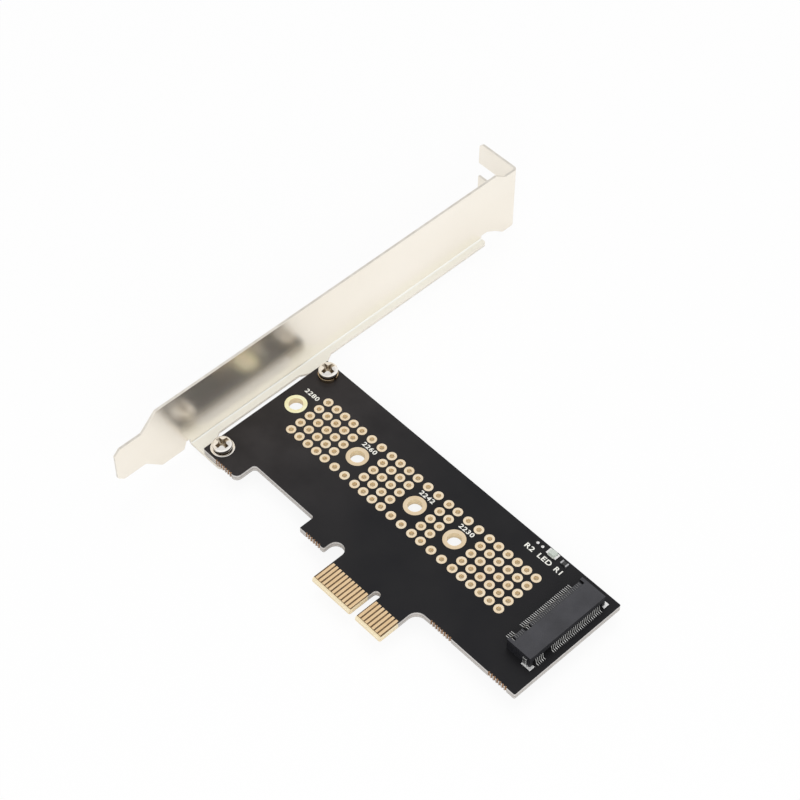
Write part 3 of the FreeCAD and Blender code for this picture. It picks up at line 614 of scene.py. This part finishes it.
def brick(mesh, low, high):
    """A box between two corners."""
    corners = [
        mesh.verts.new((x, y, z))
        for z in (low[2], high[2])
        for y in (low[1], high[1])
        for x in (low[0], high[0])
    ]
    for face in BRICK_FACES:
        mesh.faces.new([corners[i] for i in face])


def loose_object(name, mesh):
    """An object that is no piece of the card: the floor, or one that only helps to shape another."""
    data = bpy.data.meshes.new(name)
    mesh.to_mesh(data)
    mesh.free()
    made = bpy.data.objects.new(name, data)
    bpy.context.scene.collection.objects.link(made)
    return made


def evaluated_mesh(made):
    """An object's final mesh as a new bmesh. The object itself is removed."""
    bpy.context.view_layer.update()
    graph = bpy.context.evaluated_depsgraph_get()
    data = bpy.data.meshes.new_from_object(made.evaluated_get(graph))
    mesh = bmesh.new()
    mesh.from_mesh(data)
    bpy.data.objects.remove(made)
    bpy.data.meshes.remove(data)
    return mesh


def rim_links(mesh, height):
    """Neighbours of each point on the rims of one level of the board."""
    links = {}
    for edge in mesh.edges:
        level = [face for face in edge.link_faces if abs(face.normal.z) > LEVEL_LIMIT]
        on_level = all(abs(v.co.z - height) < TOUCH for v in edge.verts)
        if len(edge.link_faces) == 2 and len(level) == 1 and on_level:
            first, second = edge.verts
            links.setdefault(first, []).append(second)
            links.setdefault(second, []).append(first)
    return links


def rim_loops(mesh, height):
    """Closed rims on one level of the board, as lists of points."""
    links = rim_links(mesh, height)
    loops = []
    left = set(links)
    while left:
        start = min(left, key=lambda v: (v.co.x, v.co.y))
        loop = [start]
        left.discard(start)
        while True:
            following = [v for v in links[loop[-1]] if v in left]
            if not following:
                break
            loop.append(following[0])
            left.discard(following[0])
        loops.append([v.co.copy() for v in loop])
    return loops


def via_centres():
    """Centres of the small thermal holes, read from the board's own rims."""
    mesh = cad_mesh("circuit_board")
    centres = []
    for loop in rim_loops(mesh, FACE):
        middle = sum(loop, Vector()) / len(loop)
        if max((point - middle).length for point in loop) < VIA_RIM_LIMIT:
            centres.append((middle.x, middle.y))
    mesh.free()
    return centres


def is_torn(face):
    """True for the narrow walls of the nicks where the panel's bridges were broken off."""
    if min(edge.calc_length() for edge in face.edges) > NICK_WALL:
        return False
    inner = [edge for edge in face.edges if len(edge.link_faces) == 2 and not edge.is_convex]
    return any(abs(edge.calc_face_angle() - NICK_TURN) < NICK_TURN_TOLERANCE for edge in inner)


def board():
    """The laminate: black faces, banded edges, torn nicks and a bare plug tongue."""
    mesh = cad_mesh("circuit_board")
    geometry = mesh.verts[:] + mesh.edges[:] + mesh.faces[:]
    bmesh.ops.bisect_plane(mesh, geom=geometry, plane_co=(0, TONGUE_BARE_TOP, 0), plane_no=(0, 1, 0))
    looks = [MASK, EDGE, NICK, BARE, TIP]
    for face in mesh.faces:
        centre = face.calc_center_median()
        upright = abs(face.normal.z) < LEVEL_LIMIT
        look = MASK
        if centre.y < TONGUE_BARE_TOP and centre.x > TONGUE_LEFT:
            look = TIP if upright else BARE
        elif upright:
            look = NICK if is_torn(face) else EDGE
        face.material_index = looks.index(look)
    piece("circuit_board_look", mesh, looks, ["circuit_board"], weighted=False)


def ring_profile(bore, reach):
    """Section of a plated hole: a barrel through the board with a rounded pad on each face."""
    top = FACE + PLATE_HEIGHT
    corner = RIM_ROUNDING * RIM_CORNER_SHARE
    outer = RIM_ROUNDING * RIM_OUTER_SHARE
    inner = RIM_ROUNDING * RIM_INNER_SHARE
    upper = [
        (reach, FACE),
        (reach - corner, top - corner),
        (reach - outer, top),
        (bore + inner, top),
        (bore + RIM_ROUNDING, top - RIM_ROUNDING),
        (bore, FACE - outer),
    ]
    return upper + [(radius, FACE + BACK - height) for radius, height in reversed(upper)]


def mark_barrels(mesh, looks):
    """Give the walls inside plated holes their own finish."""
    for face in mesh.faces:
        if max(abs(v.co.z) for v in face.verts) < FACE + PLATE_HEIGHT / 2:
            face.material_index = looks.index(BARREL)


def thermal_platings():
    """Gold pads and barrels of the thermal holes, on both faces."""
    mesh = bmesh.new()
    for centre in via_centres():
        turned(mesh, ring_profile(VIA_BORE_RADIUS, VIA_PAD_RADIUS), centre, VIA_STEPS)
    looks = [PAD_GOLD, BARREL]
    mark_barrels(mesh, looks)
    piece("thermal_hole_platings", mesh, looks, weighted=False)


def standoff_platings():
    """Gold rings of the standoff holes. The first one is paler."""
    for size in MODULE_SIZES:
        node = "standoff_plating_%d" % size
        low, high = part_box(node)
        reach = (high.x - low.x) / 2 / MM
        mesh = bmesh.new()
        turned(mesh, ring_profile(STANDOFF_BORE_RADIUS, reach), node_centre(node), STANDOFF_STEPS)
        looks = [PALE_GOLD if size == MODULE_SIZES[0] else GOLD, BARREL]
        mark_barrels(mesh, looks)
        piece(node + "_look", mesh, looks, [node], weighted=False)


def slimmed(mesh, first, pitch, share, axis):
    """Draw each contact of a row in towards its own middle line."""
    for v in mesh.verts:
        middle = first + round((v.co[axis] - first) / pitch) * pitch
        v.co[axis] = middle + (v.co[axis] - middle) * share


def contacts():
    """Gold contacts of the plug tongue."""
    for side in ("front", "back"):
        for group in ("long", "short"):
            node = "edge_contacts_%s_%s" % (group, side)
            mesh = cad_mesh(node)
            low = min(v.co.x for v in mesh.verts)
            slimmed(mesh, low + FINGER_WIDTH / 2, FINGER_PITCH, FINGER_SHARE, X_AXIS)
            soften(mesh, FINGER_ROUNDING, 1)
            piece(node + "_look", mesh, [CONTACT_GOLD], [node])


def sheet_patches(mesh):
    """Groups of faces that join smoothly."""
    left = set(mesh.faces)
    while left:
        group = {left.pop()}
        waiting = list(group)
        while waiting:
            face = waiting.pop()
            for edge in face.edges:
                if len(edge.link_faces) == 2 and edge.calc_face_angle() < SHEET_TURN:
                    for other in edge.link_faces:
                        if other in left:
                            left.discard(other)
                            group.add(other)
                            waiting.append(other)
        yield group


def bracket():
    """Folded sheet with plated faces, duller sheared edges and rounded arrises, and a painted highlight on the
    up-facing faces near the board.
    """
    mesh = cad_mesh("bracket")
    looks = [NICKEL, SHEARED, FLANGE_HIGHLIGHT]
    for group in sheet_patches(mesh):
        area = sum(face.calc_area() for face in group)
        edges = [edge for face in group for edge in face.edges]
        rim = sum(edge.calc_length() for edge in edges if not set(edge.link_faces) <= group)
        if 2 * area / rim < SHEARED_WIDTH:
            for face in group:
                face.material_index = looks.index(SHEARED)
    # Up-facing plated faces near the board get a painted highlight
    for face in mesh.faces:
        plated = face.material_index == looks.index(NICKEL)
        near_board = face.calc_center_median().z < FLANGE_LIMIT
        if plated and near_board and face.normal.z > FLANGE_LEAN:
            face.material_index = looks.index(FLANGE_HIGHLIGHT)
    soften(mesh, SHEET_ROUNDING, SHEET_ROUNDING_STEPS)
    piece("bracket_look", mesh, looks, ["bracket"])


def cross(mesh, reach, half, hub, centre, height):
    """Vertices of a plus-shaped outline whose inner corners are cut back to make a round hub."""
    quarter = [(reach, -half), (reach, half), (half + hub, half), (half, half + hub)]
    corners = []
    for turn in range(4):
        corners += [mesh.verts.new((centre[0] + x, centre[1] + y, height)) for x, y in quarter]
        quarter = [(-y, x) for x, y in quarter]
    return corners


def recess_cutter(centre, top):
    """Tapered cross that is cut out of a screw head."""
    mesh = bmesh.new()
    mouth_size = (RECESS_REACH, RECESS_HALF_WIDTH, RECESS_HUB)
    foot_size = (RECESS_FOOT_REACH, RECESS_FOOT_HALF_WIDTH, RECESS_FOOT_HUB)
    mouth = cross(mesh, *mouth_size, centre, top + RECESS_CUTTER_LIFT)
    level = cross(mesh, *mouth_size, centre, top - RECESS_STRAIGHT_DEPTH)
    foot = cross(mesh, *foot_size, centre, top - RECESS_DEPTH)
    mesh.faces.new(mouth)
    mesh.faces.new(foot[::-1])
    for upper, lower in ((mouth, level), (level, foot)):
        for index in range(len(upper)):
            after = (index + 1) % len(upper)
            mesh.faces.new((upper[after], upper[index], lower[index], lower[after]))
    bmesh.ops.recalc_face_normals(mesh, faces=mesh.faces)
    return mesh


def cut_away(mesh, cutter):
    """The first mesh without the second."""
    body = loose_object("cut_body", mesh)
    tool = loose_object("cut_tool", cutter)
    modifier = body.modifiers.new("cut", "BOOLEAN")
    modifier.operation = "DIFFERENCE"
    modifier.solver = "EXACT"
    modifier.object = tool
    result = evaluated_mesh(body)
    bpy.data.objects.remove(tool)
    return result


def screw_profile(tip, seat, top):
    """Half section of a pan-head screw, from its tip to the top of its dome."""
    soft = HEAD_RIM_SOFTNESS
    profile = [
        (0, tip),
        (SHANK_RADIUS - SHANK_CHAMFER, tip),
        (SHANK_RADIUS, tip + SHANK_CHAMFER),
        (SHANK_RADIUS, seat),
        (NECK_RADIUS, seat),
        (NECK_RADIUS, seat + NECK_HEIGHT),
        (HEAD_RADIUS - soft, seat + UNDERSIDE_HEIGHT),
        (HEAD_RADIUS, seat + UNDERSIDE_HEIGHT + soft),
    ]
    dome = top - seat - HEAD_SIDE
    for step in range(DOME_STEPS):
        angle = math.pi / 2 * step / DOME_STEPS
        across = math.cos(angle) ** (2 / DOME_FULLNESS)
        rise = math.sin(angle) ** (2 / DOME_FULLNESS)
        profile.append((HEAD_RADIUS * across, seat + HEAD_SIDE + dome * rise))
    profile.append((0, top))
    return profile


def bracket_screw(node, washer):
    """Pan-head screw with a domed head and a cross recess, with painted shade in its neck and recess."""
    centre = node_centre(node)
    low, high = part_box(node)
    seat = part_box(washer)[1].z / MM
    top = high.z / MM
    mesh = bmesh.new()
    turned(mesh, screw_profile(low.z / MM, seat, top), centre, SCREW_STEPS)
    bmesh.ops.recalc_face_normals(mesh, faces=mesh.faces)
    result = cut_away(mesh, recess_cutter(centre, top))
    looks = [CHROME, SHADE, RECESS_PAINTED_SHADE]
    for face in result.faces:
        middle = face.calc_center_median()
        reach = math.hypot(middle.x - centre[0], middle.y - centre[1])
        in_neck = reach > SHANK_RADIUS + TOUCH and middle.z < seat + UNDERSIDE_HEIGHT
        steep = face.normal.z < RECESS_WALL_TILT or middle.z < top - RECESS_FLOOR_DROP
        in_recess = steep and reach < RECESS_REACH and middle.z > top - RECESS_DEPTH - TOUCH
        # The neck and the head's underside get painted shade, and so do the recess walls
        if in_neck:
            face.material_index = looks.index(SHADE)
        elif in_recess:
            face.material_index = looks.index(RECESS_PAINTED_SHADE)
    piece(node + "_look", result, looks, [node])


def flat_washer():
    """Plain washer with rounded rims."""
    node = "flat_washer"
    low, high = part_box(node)
    reach = (high.x - low.x) / 2 / MM
    inner = SHANK_RADIUS + WASHER_BORE_GAP
    base = low.z / MM
    top = high.z / MM
    soft = WASHER_ROUNDING
    profile = [
        (reach - soft, base),
        (reach, base + soft),
        (reach, top - soft),
        (reach - soft, top),
        (inner + soft, top),
        (inner, top - soft),
        (inner, base + soft),
        (inner + soft, base),
    ]
    mesh = bmesh.new()
    turned(mesh, profile, node_centre(node), WASHER_STEPS)
    piece(node + "_look", mesh, [CHROME], [node])


def pin_row(node):
    """Middles of the contacts of a row, along the socket."""
    low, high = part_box(node)
    count = round(((high.y - low.y) / MM - PIN_WIDTH) / PIN_PITCH) + 1
    return [low.y / MM + PIN_WIDTH / 2 + step * PIN_PITCH for step in range(count)]


def pins(node):
    """A row of contacts with bright rolled faces; the greyer risers and the dark punched sides are painted
    shade.
    """
    mesh = cad_mesh(node)
    slimmed(mesh, pin_row(node)[0], PIN_PITCH, PIN_SHARE, Y_AXIS)
    looks = [PIN_FACE, PIN_SHADED_SIDE, PIN_SHADED_RISER]
    # Sides and risers get painted shade
    for face in mesh.faces:
        if abs(face.normal.y) > PIN_SHADED_SIDE_LIMIT:
            face.material_index = looks.index(PIN_SHADED_SIDE)
        elif face.normal.x > PIN_SHADED_RISER_LIMIT:
            face.material_index = looks.index(PIN_SHADED_RISER)
    soften(mesh, PIN_ROUNDING, 1)
    piece(node + "_look", mesh, looks, [node])


def bars(name, node, low, high, look):
    """One small bar for each contact of a row, between two corners of X and Z."""
    mesh = bmesh.new()
    half = SOLDER_PAD_WIDTH / 2
    for y in pin_row(node):
        brick(mesh, (low[0], y - half, low[1]), (high[0], y + half, high[1]))
    piece(name, mesh, [look], weighted=False)


def housing():
    """Moulding of the socket, with painted shade on its darker upright sides."""
    mesh = cad_mesh("socket_housing")
    looks = [PLASTIC, PLASTIC_SHADED_SIDE]
    for face in mesh.faces:
        if abs(face.normal.z) < SHADED_SIDE_LEVEL_LIMIT:
            face.material_index = looks.index(PLASTIC_SHADED_SIDE)
    soften(mesh, HOUSING_ROUNDING)
    piece("socket_housing_look", mesh, looks, ["socket_housing"])


def clip(node):
    """Solder clip with a bright foot, and painted shade on its darker upright and raised parts."""
    mesh = cad_mesh(node)
    looks = [CLIP, CLIP_SHADED_SIDE]
    for face in mesh.faces:
        above_foot = face.calc_center_median().z > FACE + CLIP_FOOT_LIMIT
        if above_foot or abs(face.normal.z) < SHADED_SIDE_LEVEL_LIMIT:
            face.material_index = looks.index(CLIP_SHADED_SIDE)
    soften(mesh, CLIP_ROUNDING)
    piece(node + "_look", mesh, looks, [node])


def socket():
    """Module socket with its contacts, clips and solder pads."""
    housing()
    pad_top = FACE + SOLDER_PAD_HEIGHT
    tip_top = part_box("socket_housing")[1].z / MM - COMB_TIP_DROP
    for group in ("wide", "narrow"):
        rear = "socket_rear_pins_" + group
        front = "socket_front_pins_" + group
        pins(rear)
        pins(front)
        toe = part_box(rear)[1].x / MM
        start = (toe - SOLDER_PAD_UNDER, FACE)
        end = (toe + SOLDER_PAD_PROUD, pad_top)
        bars(rear + "_pads", rear, start, end, SOLDER)
        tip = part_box(rear)[0].x / MM - COMB_FRONT_TO_BEAM
        start = (tip, tip_top - COMB_TIP_HEIGHT)
        end = (tip + COMB_TIP_LENGTH, tip_top)
        bars(rear + "_tips", rear, start, end, SHADED_TIN)
        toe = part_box(front)[0].x / MM
        start = (toe - SOLDER_PAD_PROUD, FACE)
        end = (toe + SOLDER_PAD_UNDER, pad_top)
        bars(front + "_pads", front, start, end, SOLDER)
    clip("socket_clip_far")
    clip("socket_clip_near")


def chips():
    """Indicator lamp, resistor and the solder domes of the empty place."""
    dressed("lamp_base", CARRIER, CARRIER_ROUNDING)
    dressed("lamp_lens", LENS, LENS_ROUNDING, LENS_ROUNDING_STEPS)
    dressed("resistor_body", CERAMIC, CERAMIC_ROUNDING)
    for end in ("left", "right"):
        dressed("lamp_terminal_" + end, TIN, TERMINAL_ROUNDING, 1)
        # The resistor's terminals take the darker tin: painted shade
        dressed("resistor_terminal_" + end, SHADED_TERMINAL_TIN, TERMINAL_ROUNDING, 1)
    dressed("spare_solder_pads", SOLDER, SOLDER_ROUNDING)


def printed(name, word, x, y, width, height):
    """One printed word, fitted to its place on the component face."""
    curve = bpy.data.curves.new(name, "FONT")
    curve.body = word
    curve.extrude = LETTER_DEPTH
    curve.offset = INK_SPREAD
    curve.space_character = LETTER_SPACING
    helper = bpy.data.objects.new(name + "_curve", curve)
    bpy.context.scene.collection.objects.link(helper)
    mesh = evaluated_mesh(helper)
    lows = [min(v.co[i] for v in mesh.verts) for i in range(3)]
    highs = [max(v.co[i] for v in mesh.verts) for i in range(3)]
    place = (x, y, FACE)
    size = (width, height, INK_HEIGHT)
    for v in mesh.verts:
        v.co = [place[i] + (v.co[i] - lows[i]) / (highs[i] - lows[i]) * size[i] for i in range(3)]
    piece(name, mesh, [INK], weighted=False)


def legend():
    """Printed size numbers beside the standoff holes and names beside the chips."""
    for size in MODULE_SIZES:
        x, y = node_centre("standoff_plating_%d" % size)
        first = size == MODULE_SIZES[0]
        x += FIRST_SIZE_TEXT_START if first else SIZE_TEXT_START
        y += FIRST_SIZE_TEXT_RISE if first else SIZE_TEXT_RISE
        printed("size_text_%d" % size, "22%d" % size, x, y, SIZE_TEXT_WIDTH, SIZE_TEXT_HEIGHT)
    for word, x, width in PART_TEXTS:
        printed("part_text_" + word, word, x, PART_TEXT_Y, width, PART_TEXT_HEIGHT)


def lamp(name, place, size, power):
    """A square soft lamp that points at the middle of the card."""
    data = bpy.data.lights.new(name, "AREA")
    data.size = size * MM
    data.energy = power
    made = bpy.data.objects.new(name, data)
    made.location = Vector(place) * MM
    direction = Vector(LAMP_TARGET) * MM - made.location
    made.rotation_euler = direction.to_track_quat("-Z", "Y").to_euler()
    made.visible_glossy = False
    bpy.context.scene.collection.objects.link(made)


def seen_or_reflected(tree):
    """1 for rays from the camera and from gloss or glass, 0 for rays that carry light."""
    path = tree.nodes.new("ShaderNodeLightPath").outputs
    seen = combined(tree, "MAXIMUM", path["Is Camera Ray"], path["Is Glossy Ray"])
    return combined(tree, "MAXIMUM", seen, path["Is Transmission Ray"])


def mixed(tree, share, first, second, output):
    """Mix two shaders and send the result to the output."""
    mix = tree.nodes.new("ShaderNodeMixShader")
    tree.links.new(share, mix.inputs["Fac"])
    tree.links.new(first, mix.inputs[1])
    tree.links.new(second, mix.inputs[2])
    tree.links.new(mix.outputs["Shader"], tree.nodes[output].inputs["Surface"])


def ceiling(tree):
    """Strength of the surroundings: white for the camera, a little duller overhead in reflections."""
    coordinates = tree.nodes.new("ShaderNodeTexCoord")
    towards = tree.nodes.new("ShaderNodeVectorMath")
    towards.operation = "DOT_PRODUCT"
    towards.inputs[1].default_value = CEILING_SIDE
    tree.links.new(coordinates.outputs["Generated"], towards.inputs[0])
    overhead = tree.nodes.new("ShaderNodeMapRange")
    overhead.interpolation_type = "SMOOTHSTEP"
    overhead.inputs["From Min"].default_value = CEILING_START
    overhead.inputs["From Max"].default_value = CEILING_END
    overhead.inputs["To Min"].default_value = SEEN_WHITE
    overhead.inputs["To Max"].default_value = CEILING_SHADE
    tree.links.new(towards.outputs["Value"], overhead.inputs["Value"])
    path = tree.nodes.new("ShaderNodeLightPath")
    return combined(tree, "MAXIMUM", path.outputs["Is Camera Ray"], overhead.outputs["Result"])


def room():
    """White surroundings that give a plain, even light."""
    world = bpy.data.worlds.new("room")
    world.use_nodes = True
    bpy.context.scene.world = world
    tree = world.node_tree
    light = tree.nodes["Background"]
    light.inputs["Color"].default_value = PLAIN_WHITE
    light.inputs["Strength"].default_value = ROOM_LIGHT
    seen = tree.nodes.new("ShaderNodeBackground")
    seen.inputs["Color"].default_value = PLAIN_WHITE
    tree.links.new(ceiling(tree), seen.inputs["Strength"])
    shaders = (light.outputs["Background"], seen.outputs["Background"])
    mixed(tree, seen_or_reflected(tree), *shaders, "World Output")


def floor():
    """Plain pale floor that shows white and keeps a faint shadow."""
    made, tree, shader = shader_of("pale_floor")
    shader.inputs["Base Color"].default_value = FLOOR_COLOUR
    shader.inputs["Roughness"].default_value = FLOOR_ROUGHNESS
    shader.inputs["Specular IOR Level"].default_value = 0.0
    glow = tree.nodes.new("ShaderNodeEmission")
    glow.inputs["Strength"].default_value = SEEN_WHITE
    camera_ray = tree.nodes.new("ShaderNodeLightPath").outputs["Is Camera Ray"]
    seen = combined(tree, "MULTIPLY", camera_ray, FLOOR_SEEN_SHARE)
    reflected = combined(tree, "MULTIPLY", seen_or_reflected(tree), FLOOR_REFLECTED_SHARE)
    own_light = combined(tree, "MAXIMUM", seen, reflected)
    mixed(tree, own_light, shader.outputs["BSDF"], glow.outputs["Emission"], "Material Output")
    mesh = bmesh.new()
    height = cad_box[0].z / MM - FLOOR_GAP
    quarters = ((-1, -1), (1, -1), (1, 1), (-1, 1))
    mesh.faces.new([mesh.verts.new((x * FLOOR_REACH, y * FLOOR_REACH, height)) for x, y in quarters])
    bmesh.ops.scale(mesh, vec=(MM, MM, MM), verts=mesh.verts)
    plane = loose_object("floor", mesh)
    plane.data.materials.append(made)
    plane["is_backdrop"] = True


def camera():
    """The photograph's viewpoint."""
    data = bpy.data.cameras.new("camera")
    data.sensor_width = CAMERA_SENSOR
    data.lens = CAMERA_LENS
    data.clip_start = CAMERA_NEAR * MM
    data.clip_end = CAMERA_FAR * MM
    made = bpy.data.objects.new("camera", data)
    made.location = Vector(CAMERA_PLACE) * MM
    made.rotation_euler = [math.radians(angle) for angle in CAMERA_TURN_DEG]
    bpy.context.scene.collection.objects.link(made)
    bpy.context.scene.camera = made


board()
thermal_platings()
standoff_platings()
contacts()
bracket()
bracket_screw("lower_bracket_screw", "flat_washer")
bracket_screw("upper_bracket_screw", "spring_washer")
flat_washer()
dressed("spring_washer", SPRING, WASHER_ROUNDING)
socket()
chips()
legend()

room()
floor()
lamp("key_lamp", KEY_PLACE, KEY_SIZE, KEY_POWER)
lamp("fill_lamp", FILL_PLACE, FILL_SIZE, FILL_POWER)
camera()
bpy.context.scene.view_settings.view_transform = "Standard"

boxes = {name: [list(corner) for corner in box] for name, box in (("cad", cad_box), ("visual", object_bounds()))}
